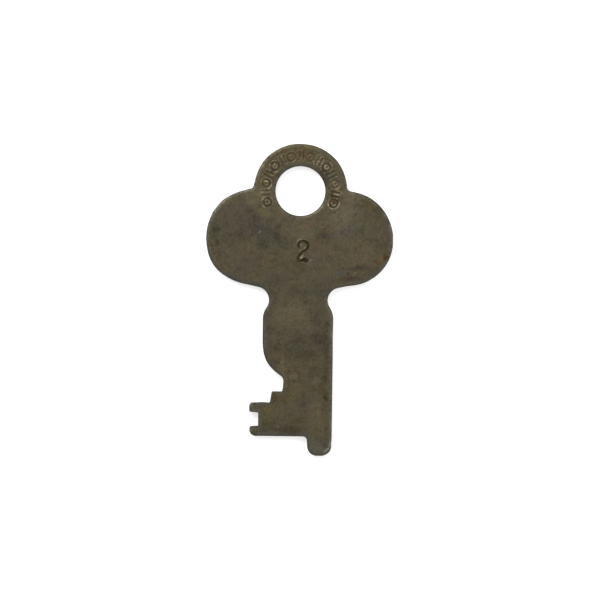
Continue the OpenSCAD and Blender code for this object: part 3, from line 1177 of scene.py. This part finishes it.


# Patches of tint: most stain the patina, and the marked ones are painted highlights and
# reflections.
STAINS_AND_HIGHLIGHTS = (
    # Painted highlight: the eye's top rim, facing the key lamp, made lighter and warmer.
    StainAndHighlight("eye top rim", (0, 5.9), (3.4, 0.45), (1.24, 1.16, 0.87)),
    StainAndHighlight("eye top band", (0.2, 4.6), (3.2, 0.7), (1.12, 1.05, 0.91)),
    StainAndHighlight("eye left side", (-5.2, 1.6), (0.8, 2.4), (1.05, 0.98, 0.89), -12),
    StainAndHighlight("eye left shoulder", (-3.6, 4), (1.3, 0.9), (0.92, 0.93, 0.88), 40),
    StainAndHighlight("eye right side", (5.2, 1.6), (0.8, 1.8), (1.05, 0.99, 0.94), 10),
    StainAndHighlight("hole edge, upper right", (3.25, 1.7), (0.42, 1.9), (0.71, 0.67, 0.69), 26),
    StainAndHighlight("left crotch", (-6.3, -0.9), (1, 1), (1.25, 1.35, 1.35)),
    # Painted highlight: the left lobe's top edge, facing the key lamp, made lighter.
    StainAndHighlight("left lobe, top edge", (-9.6, -1.4), (2, 0.5), (1.1, 1.08, 1.08), 33),
    StainAndHighlight("left lobe, violet field", (-8, -4.2), (3.4, 2.2), (0.87, 0.87, 1.02)),
    StainAndHighlight("left lobe, blue streak", (-4.1, -6), (2.3, 0.9), (0.77, 0.79, 0.94), -25),
    StainAndHighlight("left lobe, streak tail", (-4.9, -7.2), (0.7, 0.7), (0.64, 0.7, 0.71)),
    StainAndHighlight("left of hole, pale", (-5, -2.9), (0.9, 0.6), (1.35, 1.37, 1.19), -20),
    StainAndHighlight("left lobe, outer spot", (-11.2, -5.4), (0.5, 1.1), (0.75, 0.79, 0.72)),
    StainAndHighlight("left lobe, outer speck", (-10.9, -7), (0.35, 0.35), (0.66, 0.67, 0.5)),
    StainAndHighlight("left underside", (-5.3, -12.5), (1.2, 0.35), (0.72, 0.85, 0.98), -10),
    StainAndHighlight("left lobe, lower violet", (-6.9, -9.8), (1.5, 1.3), (0.93, 0.91, 1.03)),
    StainAndHighlight("left lobe, lower rim", (-8.4, -11.5), (3.2, 0.45), (0.9, 0.92, 1.07), -20),
    StainAndHighlight("below hole", (0, -4.2), (2.6, 0.7), (1.17, 1.13, 1.11)),
    StainAndHighlight("middle of bow", (0, -5.6), (1.6, 0.9), (1.15, 1.19, 1.21)),
    StainAndHighlight("right of hole", (5.6, -3.2), (2, 1.7), (1.32, 1.34, 1.43)),
    StainAndHighlight("right lobe, streak head", (3.1, -5.9), (0.9, 0.45), (0.78, 0.74, 0.88)),
    StainAndHighlight("right lobe, streak", (5.8, -5.3), (1.8, 0.5), (1.05, 1.01, 1.31), 20),
    StainAndHighlight("eye, upper left rim", (-2.4, 5.4), (1.3, 0.35), (0.71, 0.69, 0.6), 24),
    StainAndHighlight("right lobe, teal flecks", (7.5, -4.4), (0.7, 0.5), (0.96, 1.13, 1.02)),
    StainAndHighlight("right lobe, edge streak", (8.8, -1.5), (1.4, 0.22), (0.96, 0.86, 0.73), -30),
    StainAndHighlight("right lobe, top dark", (10.2, -2.9), (0.6, 0.9), (0.87, 0.82, 0.79), 30),
    StainAndHighlight("right lobe, outer rim", (11.4, -5.3), (0.6, 1.9), (0.93, 0.89, 1.04)),
    StainAndHighlight("right lobe, olive field", (6.6, -8.2), (3.2, 1.7), (1.15, 1.14, 1.13)),
    StainAndHighlight("right lobe, rust", (10.7, -9), (1.1, 0.45), (1.24, 0.96, 0.86), 28),
    StainAndHighlight("right lobe, rust heart", (11.4, -8.7), (0.4, 0.45), (0.54, 0.56, 0.41)),
    StainAndHighlight("right lobe, lower dark", (7.9, -10.1), (1.3, 0.35), (0.67, 0.65, 0.73), 8),
    StainAndHighlight("right lobe, low violet", (6.1, -11.6), (1.2, 0.35), (0.73, 0.72, 0.76), 10),
    StainAndHighlight("right lobe, low teal", (5.6, -10.8), (0.9, 0.35), (0.89, 0.97, 1.19)),
    StainAndHighlight("right lobe, low rust", (7.4, -10.9), (0.9, 0.25), (1.16, 1.16, 1.13), 10),
    StainAndHighlight("right lobe, lower rim", (9, -11.5), (2.4, 0.35), (1.07, 1.08, 1.08), 28),
    StainAndHighlight("eye, left foot", (-4.7, -0.5), (0.8, 1), (1.09, 1.09, 1.09)),
    StainAndHighlight("eye, right foot", (4.3, -1.1), (1, 1.1), (0.82, 0.73, 0.64)),
    StainAndHighlight("right crotch, pale", (6.9, -0.9), (1.3, 0.5), (1.37, 1.39, 1.44), -18),
    StainAndHighlight("blade, grey right of band", (1.6, -18.4), (0.8, 0.5), (1.02, 1.06, 1.22)),
    StainAndHighlight("belly, pale", (-1.6, -22.9), (0.8, 1.1), (1.4, 1.36, 1.35), -25),
    StainAndHighlight("blade, pale right", (2.4, -25.2), (0.6, 0.5), (1.31, 1.27, 1.33)),
    # Painted highlight: the bevel under the figure's stem, lit by the key lamp.
    StainAndHighlight("figure, bright bevel", (0.19, -8.77), (0.38, 0.13), (3.2, 3.2, 3.4), 50),
    StainAndHighlight("figure, brown beside foot", (-0.2, -9.9), (1.1, 0.35), (0.81, 0.79, 0.67), -25),
    # Painted highlights: facets inside the hook and beside the foot, lit by the key lamp.
    StainAndHighlight("figure, bright inside hook", (0.18, -7.14), (0.18, 0.26), (1.6, 1.6, 1.9)),
    StainAndHighlight("figure, bright beside foot", (1.35, -9.35), (0.16, 0.4), (1.25, 1.27, 1.45)),
    # Painted glint: the nick in the left lobe made near white.
    StainAndHighlight("left lobe, bright nick", (-5.3, -5.48), (0.15, 0.11), (3, 3.3, 3.9)),
    # Painted highlights: the ends of the tooth and the heel made paler and bluer, as lit edges.
    StainAndHighlight("tooth, bright tip", (-6.3, -28.42), (0.45, 0.22), (1.6, 1.7, 1.95), 40),
    StainAndHighlight("heel, bright tip", (-6.35, -31.9), (0.25, 0.5), (1.4, 1.45, 1.6)),
    # Painted glint: the nick in the bit made bright.
    StainAndHighlight("bit, bright nick", (-2.62, -31.12), (0.09, 0.2), (1.6, 1.65, 1.7)),
    StainAndHighlight("violet beside figure", (2.2, -8.9), (1, 1), (1.07, 1.06, 1.23)),
    StainAndHighlight("blue left of neck", (-3.2, -11.8), (1.7, 0.9), (0.84, 0.85, 0.96)),
    StainAndHighlight("blue right of neck", (3.3, -12.3), (1.4, 0.9), (0.87, 0.9, 0.99)),
    StainAndHighlight("neck, left violet", (-3.6, -14.2), (0.8, 1.3), (0.86, 0.79, 0.91)),
    StainAndHighlight("neck, middle violet", (0.4, -13.4), (1.6, 0.5), (0.78, 0.81, 0.91)),
    StainAndHighlight("neck, left rim", (-4.4, -17), (0.35, 0.8), (0.84, 0.83, 0.92)),
    StainAndHighlight("neck, right", (3, -14), (0.9, 1.2), (0.91, 0.94, 0.97)),
    StainAndHighlight("blade, pale top", (-0.8, -16.4), (2.1, 1.7), (1.25, 1.25, 1.25)),
    StainAndHighlight("blade, right violet", (2.6, -16.7), (0.8, 1.3), (0.87, 0.87, 0.92)),
    StainAndHighlight("blade, violet band", (1.2, -20.3), (2.8, 1.3), (0.81, 0.84, 0.94), 8),
    StainAndHighlight("blade, band heart", (2.7, -19.3), (1, 0.9), (0.84, 0.79, 0.8)),
    StainAndHighlight("blade, pale middle", (-0.7, -24.5), (0.5, 0.5), (1.41, 1.42, 1.44)),
    StainAndHighlight("blade, left violet", (-2.2, -19), (0.7, 0.6), (0.92, 0.88, 0.93)),
    StainAndHighlight("blade, dark left rim", (-3.9, -19.6), (0.4, 2.4), (0.83, 0.87, 0.99)),
    StainAndHighlight("blade, right upper line", (3.6, -20.6), (0.4, 3.2), (0.82, 0.8, 0.81)),
    StainAndHighlight("blade, right inner line", (3.5, -26), (0.35, 3.8), (0.94, 0.96, 0.81)),
    StainAndHighlight("blade, right green spot", (3.5, -24.8), (0.4, 0.4), (0.72, 0.74, 0.67)),
    StainAndHighlight("blade, right lower green", (3.7, -27.3), (0.35, 0.5), (0.54, 0.52, 0.31)),
    StainAndHighlight("blade, right ochre", (3.2, -26.4), (0.5, 0.5), (0.94, 0.89, 0.8)),
    StainAndHighlight("blade, low dark", (0.9, -21.8), (1.4, 0.6), (0.79, 0.74, 0.71)),
    # Painted reflection: the bit's lower rim made paler and bluer.
    StainAndHighlight("bit, pale lower rim", (-4.2, -32.3), (2.4, 0.22), (1.06, 1.17, 1.33)),
    StainAndHighlight("hole edge, left", (-3.3, 2), (0.35, 1.6), (0.8, 0.73, 0.58), -32),
    StainAndHighlight("blade, brown middle", (-0.4, -26.3), (0.9, 1.3), (1.11, 1.08, 0.96)),
    StainAndHighlight("blade, blue fleck", (1.8, -24.2), (0.5, 0.9), (0.89, 0.84, 0.88)),
    StainAndHighlight("throat, ochre", (-1.7, -25.6), (0.35, 0.7), (1.28, 1.17, 1.04)),
    StainAndHighlight("throat, green", (-1.4, -26.9), (0.4, 0.5), (0.89, 0.91, 0.79)),
    StainAndHighlight("step, rust", (-2.7, -27.4), (0.8, 0.4), (0.95, 0.87, 0.71)),
    StainAndHighlight("step, dark speck", (-1.8, -28), (0.35, 0.25), (0.67, 0.68, 0.51)),
    StainAndHighlight("bit, ochre", (-3.8, -28.9), (0.9, 0.5), (1.33, 1.27, 1.01), 20),
    StainAndHighlight("bit, green", (-4.2, -30.2), (0.8, 0.9), (0.96, 1.05, 0.87)),
    StainAndHighlight("bit, dark green", (-4.4, -31), (0.4, 0.3), (0.83, 0.77, 0.71)),
    StainAndHighlight("bit, dark foot", (-0.7, -31.75), (1.5, 0.6), (0.7, 0.67, 0.63)),
    StainAndHighlight("bit, dark middle", (-2.6, -31.5), (1.7, 0.55), (0.89, 0.9, 0.94)),
    StainAndHighlight("bit, brown middle", (0.3, -30.3), (0.9, 0.5), (0.82, 0.83, 0.69)),
    StainAndHighlight("bit, pale patch", (2.4, -28.9), (0.9, 0.9), (1.18, 1.18, 1.18)),
    StainAndHighlight("post, ochre", (2.8, -31.2), (0.9, 1.4), (1.14, 1.15, 1.08)),
    StainAndHighlight("post, violet", (2.8, -33.4), (0.9, 0.6), (1.1, 1.12, 1.38)),
    StainAndHighlight("post, pale foot", (2.7, -34.25), (1.3, 0.4), (1.09, 1.2, 1.4)),
    StainAndHighlight("post, pale left", (1.95, -33.3), (0.35, 0.9), (1.1, 1.2, 1.18)),
    # Painted highlights, partly wear: the post's right rim and lower corner made paler and bluer.
    StainAndHighlight("post, bright rim", (4.23, -33.65), (0.14, 0.6), (1.75, 1.8, 2), -14),
    StainAndHighlight("post, bright corner", (3.85, -34.3), (0.1, 0.4), (1.87, 1.79, 1.86), -50),
)


@dataclass(frozen=True)
class AgedBrass:
    """Brass gone olive brown with age, with dirt in its marks, brightness on its ridges, and
    painted reflections and highlights along its rims.
    """

    patina: Triple = (0.07324, 0.06065, 0.03593)
    mottle_light: float = 1.7
    mottle_grain: float = 1.3
    mottle_warmth: float = 1.0
    mottle_green: float = 0.5
    swirls: tuple[float, ...] = (0.8, 2.5)
    swirl_detail: float = 2.0
    swirl_reach: float = 0.5
    stain_grain: Triple = (1.7, 4, 0.8)
    stain_span: Pair = (0.25, 0.75)
    stain_strength: Pair = (0.55, 1.45)
    stains_and_highlights: tuple[StainAndHighlight, ...] = STAINS_AND_HIGHLIGHTS
    # Painted reflection, partly a cooler patina at the edge: the band along every rolled rim is
    # made paler and bluer.
    rim_reflection_tint: Triple = (1.054, 1.118, 1.271)
    rim_span: Pair = (0.3, 0.85)
    # Painted reflection: the rims on the side away from the key lamp are made paler and bluer
    # still.
    lee_reflection_tint: Triple = (1.086, 1.136, 1.3)
    lee_span: Pair = (0.55, 0.85)
    # Partly wear, partly painted highlight: the outermost rim is worn bright only where it faces
    # the key lamp.
    worn_highlit_edge: Triple = (0.21, 0.205, 0.175)
    highlit_edge_span: Pair = (0.8, 0.96)
    highlit_edge_amount: float = 0.9
    speck: Triple = (0.62, 0.6, 0.5)
    speck_scale: float = 1.1
    speck_share: float = 0.22
    speck_size: float = 0.3
    sheared: Triple = (0.13, 0.105, 0.06)
    score_stretch: Triple = (3.0, 3.0, 0.35)
    score_grain: Triple = (1.2, 3, 0.6)
    score_span: Pair = (0.3, 0.7)
    dirt: Triple = (0.039, 0.023, 0.0065)
    rubbed: Triple = (0.46, 0.39, 0.26)
    rubbed_amount: float = 0.8
    metallic: float = 0.8
    gloss: float = 0.25
    roughness: float = 0.47
    light_roughness: float = -0.5
    dirt_roughness: float = 0.2
    rubbed_roughness: float = -0.15
    bump: float = 0.35
    bump_height: float = 0.03
    bump_grain: Triple = (2.6, 4, 0.7)
    pit_bump: float = -0.6
    score_bump: float = 1.2

    def material(self) -> Material:
        """Builds the material.

        Returns:
            The finished material.
        """
        made = bpy.data.materials.new("aged_brass")
        graph = Graph.of(made)
        graph.place = graph.vector("SCALE", graph.add("TexCoord").outputs["Object"], 1 / MM)
        groove, lip, wall, edge, lee, lit = (
            graph.add("Attribute", attribute_name=name).outputs["Fac"]
            for name in ("groove", "lip", "wall", "edge", "lee", "lit")
        )
        mottle = graph.effect(
            Mottle(),
            Light=self.mottle_light,
            Grain=self.mottle_grain,
            Warmth=self.mottle_warmth,
            Green=self.mottle_green,
        )
        # Painted reflection, partly a cooler patina at the edge: a paler, bluer band along every
        # rolled rim.
        rim = graph.ramp(edge, self.rim_span)
        # Painted reflection: rims facing away from the key lamp turn paler and bluer.
        lee_rim_sheen = graph.maths("MULTIPLY", graph.ramp(edge, self.lee_span), lee)
        # Partly wear, partly painted highlight: the outermost rim turns bright only on the side
        # facing the key lamp, and not on the wall.
        highlit_rim = graph.maths("MULTIPLY", graph.ramp(edge, self.highlit_edge_span), lit)
        highlit_rim = graph.maths("MULTIPLY", highlit_rim, graph.maths("SUBTRACT", 1.0, wall))
        worn_and_highlit = graph.effect(WearAndHighlight(), Ridge=highlit_rim, Amount=self.highlit_edge_amount).outputs["Mask"]
        pits = graph.effect(
            Specks(), Scale=self.speck_scale, Share=self.speck_share, Size=self.speck_size
        ).outputs["Mask"]
        colour = self._patina(graph, mottle.outputs["Tint"])
        for mode, mask, over in (
            ("MULTIPLY", rim, self.rim_reflection_tint),
            ("MULTIPLY", lee_rim_sheen, self.lee_reflection_tint),
            ("MIX", worn_and_highlit, self.worn_highlit_edge),
            ("MULTIPLY", pits, self.speck),
        ):
            colour = graph.blend(mode, mask, colour, (*over, 1))
        colour, score = self._wall(graph, wall, colour)
        colour = graph.blend("MIX", groove, colour, (*self.dirt, 1))
        rub = graph.effect(WearAndHighlight(), Ridge=lip, Amount=self.rubbed_amount).outputs["Mask"]
        colour = graph.blend("MIX", rub, colour, (*self.rubbed, 1))
        rough = self.roughness
        for mask, change in (
            (mottle.outputs["Light"], self.light_roughness),
            (groove, self.dirt_roughness),
            (rub, self.rubbed_roughness),
        ):
            rough = graph.maths("MULTIPLY_ADD", mask, change, rough)
        shader = graph.add(
            "BsdfPrincipled",
            {
                "Base Color": colour,
                "Metallic": self.metallic,
                "Specular IOR Level": self.gloss,
                "Roughness": rough,
                "Normal": self._relief(graph, pits, score),
            },
        )
        graph.add("OutputMaterial", {"Surface": shader.outputs[0]})
        return made

    def _patina(self, graph: Graph, tint: Socket) -> Socket:
        """Lays the tint patches on the patina: most of them stain it, and the marked ones are
        painted highlights and reflections.

        Args:
            graph: the material's graph.
            tint: the mottle.

        Returns:
            The colour of the patina with its patches.
        """
        warped = graph.place
        for scale in self.swirls:
            sockets = {"Vector": graph.place, "Scale": scale, "Detail": self.swirl_detail}
            swirl = graph.add("TexNoise", sockets).outputs["Color"]
            push = graph.vector("SUBTRACT", swirl, (0.5, 0.5, 0.5))
            push = graph.vector("MULTIPLY", push, (self.swirl_reach, self.swirl_reach, 0.0))
            warped = graph.vector("ADD", warped, push)
        grain = graph.noise(*self.stain_grain)
        broken = graph.ramp(grain, self.stain_span, self.stain_strength)
        colour = graph.blend("MULTIPLY", 1.0, (*self.patina, 1), tint)
        for stain in self.stains_and_highlights:
            colour = stain.lay(graph, warped, broken, colour)
        return colour

    def _wall(self, graph: Graph, wall: Socket, under: Socket) -> tuple[Socket, Socket]:
        """Gives the sheared edge its own colour, scored from face to face.

        Args:
            graph: the material's graph.
            wall: the mask of the edge.
            under: the colour of the faces.

        Returns:
            The colour with the edge on it, and the height of the score marks.
        """
        long = graph.vector("MULTIPLY", graph.place, self.score_stretch)
        score = graph.noise(*self.score_grain, long)
        bright = graph.ramp(score, self.score_span)
        edge = graph.blend("MIX", bright, under, (*self.sheared, 1))
        return graph.blend("MIX", wall, under, edge), graph.maths("MULTIPLY", score, wall)

    def _relief(self, graph: Graph, pits: Socket, score: Socket) -> Socket:
        """Roughens the surface.

        Args:
            graph: the material's graph.
            pits: the mask of the pits.
            score: the height of the edge's score marks.

        Returns:
            The normal.
        """
        height = graph.noise(*self.bump_grain)
        for mask, change in ((pits, self.pit_bump), (score, self.score_bump)):
            height = graph.maths("MULTIPLY_ADD", mask, change, height)
        sockets = {"Strength": self.bump, "Distance": self.bump_height * MM, "Height": height}
        return graph.add("Bump", sockets).outputs["Normal"]


# The studio


@dataclass(frozen=True)
class Lamp:
    """A soft square lamp: its place and its side in metres, and its power in watts."""

    name: str
    place: Triple
    side: float
    power: float

    def hang(self, target: Triple) -> None:
        """Hangs the lamp, facing a place.

        Args:
            target: the place that it lights, in metres.
        """
        data = bpy.data.lights.new(self.name, "AREA")
        data.size = self.side
        data.energy = self.power
        lamp = bpy.data.objects.new(self.name, data)
        lamp.location = self.place
        towards = Vector(target) - Vector(self.place)
        lamp.rotation_euler = towards.to_track_quat("-Z", "Y").to_euler()
        bpy.context.scene.collection.objects.link(lamp)


@dataclass
class Studio:
    """The pale floor, the soft lights and the camera straight above."""

    lens: float = 300.0
    frame_width: float = 79.45
    aim: Pair = (0.128, -14.436)
    roll: float = 0.756
    clip_start: float = 0.01
    floor_size: float = 3.0
    floor_drop: float = 0.02
    floor_colour: float = 0.8
    floor_glow: float = 0.62
    sky: float = 0.5
    lit_place: Triple = (0, -0.0144, 0)
    lamps: tuple[Lamp, ...] = (
        Lamp("key_lamp", (-0.14, 0.2, 0.36), 0.22, 1.0),
        Lamp("fill_lamp", (0.26, 0.06, 0.33), 0.3, 0.4),
    )

    def set_up(self) -> None:
        """Makes the stage and the camera."""
        bpy.context.scene.view_settings.view_transform = "Standard"
        self._floor()
        self._sky()
        for lamp in self.lamps:
            lamp.hang(self.lit_place)
        self._camera()

    @staticmethod
    def _seen(graph: Graph) -> Socket:
        """Tells the rays that show the background: the camera's, mirrored and let through.

        Args:
            graph: the graph of the floor or the sky.

        Returns:
            A value that is 1 for those rays.
        """
        path = graph.add("LightPath").outputs
        seen = graph.maths("MAXIMUM", path["Is Camera Ray"], path["Is Glossy Ray"])
        return graph.maths("MAXIMUM", seen, path["Is Transmission Ray"])

    def _floor(self) -> None:
        """Lays the floor that the key lies on."""
        put_down()
        place = (0, 0, -self.floor_drop * MM)
        bpy.ops.mesh.primitive_plane_add(size=self.floor_size, location=place)
        floor = bpy.context.object
        floor.name = "floor"
        bpy.ops.object.transform_apply(location=True)
        made = bpy.data.materials.new("floor_white")
        graph = Graph.of(made)
        grey = (self.floor_colour,) * 3 + (1,)
        matt = graph.add("BsdfDiffuse", {"Color": grey})
        glow = graph.maths("MULTIPLY", self._seen(graph), self.floor_glow)
        lit = graph.add("Emission", {"Strength": glow})
        both = graph.add("AddShader", {0: matt.outputs[0], 1: lit.outputs[0]})
        graph.add("OutputMaterial", {"Surface": both.outputs[0]})
        floor.data.materials.append(made)

    def _sky(self) -> None:
        """Sets an even light all round."""
        world = bpy.data.worlds.new("studio")
        graph = Graph.of(world)
        strength = graph.maths("MULTIPLY_ADD", self._seen(graph), 1 - self.sky, self.sky)
        shine = graph.add("Background", {"Strength": strength})
        graph.add("OutputWorld", {"Surface": shine.outputs[0]})
        bpy.context.scene.world = world

    def _camera(self) -> None:
        """Sets the camera over the key, looking straight down at its struck face."""
        data = bpy.data.cameras.new("camera")
        data.lens = self.lens
        data.clip_start = self.clip_start
        camera = bpy.data.objects.new("camera", data)
        above = Face.STRUCK.value + self.frame_width * self.lens / data.sensor_width
        camera.location = Vector((*self.aim, above)) * MM
        camera.rotation_euler = (0, 0, math.radians(self.roll))
        bpy.context.scene.collection.objects.link(camera)
        bpy.context.scene.camera = camera


def main() -> None:
    """Builds, dresses and stages the key."""
    logging.basicConfig(level=logging.INFO, format="%(message)s")
    key = KeyPlate().build(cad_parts[NODE])
    key.data.materials.append(AgedBrass().material())
    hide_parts(NODE)
    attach(key, BODY)
    triangles = sum(len(p.vertices) - 2 for p in key.data.polygons)
    LOG.info("%s: %d vertices, %d triangles", key.name, len(key.data.vertices), triangles)
    Studio().set_up()
    LOG.info("floor, sky, lamps and camera set up")


if __name__ == "__main__":
    main()
